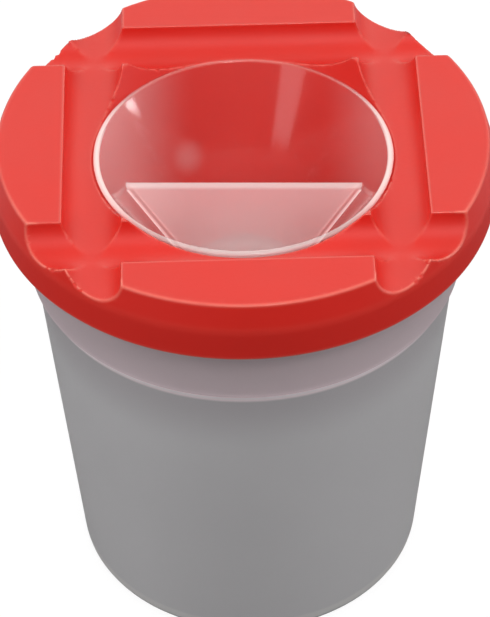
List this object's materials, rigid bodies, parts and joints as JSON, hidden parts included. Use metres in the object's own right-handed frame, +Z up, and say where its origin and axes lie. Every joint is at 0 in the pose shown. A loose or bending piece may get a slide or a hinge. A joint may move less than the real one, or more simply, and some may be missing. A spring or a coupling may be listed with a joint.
{
  "type": "brush washer with lid",
  "caption": "Tapered frosted water pot with a press-on red lid that has crossing brush grooves and a funnel closed by a lift-out conical stopper with a grip web.",
  "frame": {"origin": "middle of the pot's foot, on the surface it stands on", "axes": "+Z up along the pot's axis, the brush grooves run along X and Y, and the picture looks from -Y"},
  "size_m": [0.09, 0.09, 0.0966],
  "materials": {
    "frosted_pot": "frosted translucent polypropylene",
    "red_lid": "satin red polypropylene",
    "clear_stopper": "translucent natural polypropylene"
  },
  "bodies": {
    "pot": {"pot": "frosted_pot"},
    "lid": {"lid": "red_lid"},
    "stopper": {"stopper": "clear_stopper"}
  },
  "joints": [
    {"name": "lid_lift", "type": "slide", "parent": "pot", "child": "lid", "axis": [0, 0, 1], "range_m": [0, 0.05]},
    {"name": "stopper_lift", "type": "slide", "parent": "lid", "child": "stopper", "axis": [0, 0, 1], "range_m": [0, 0.045]}
  ]
}
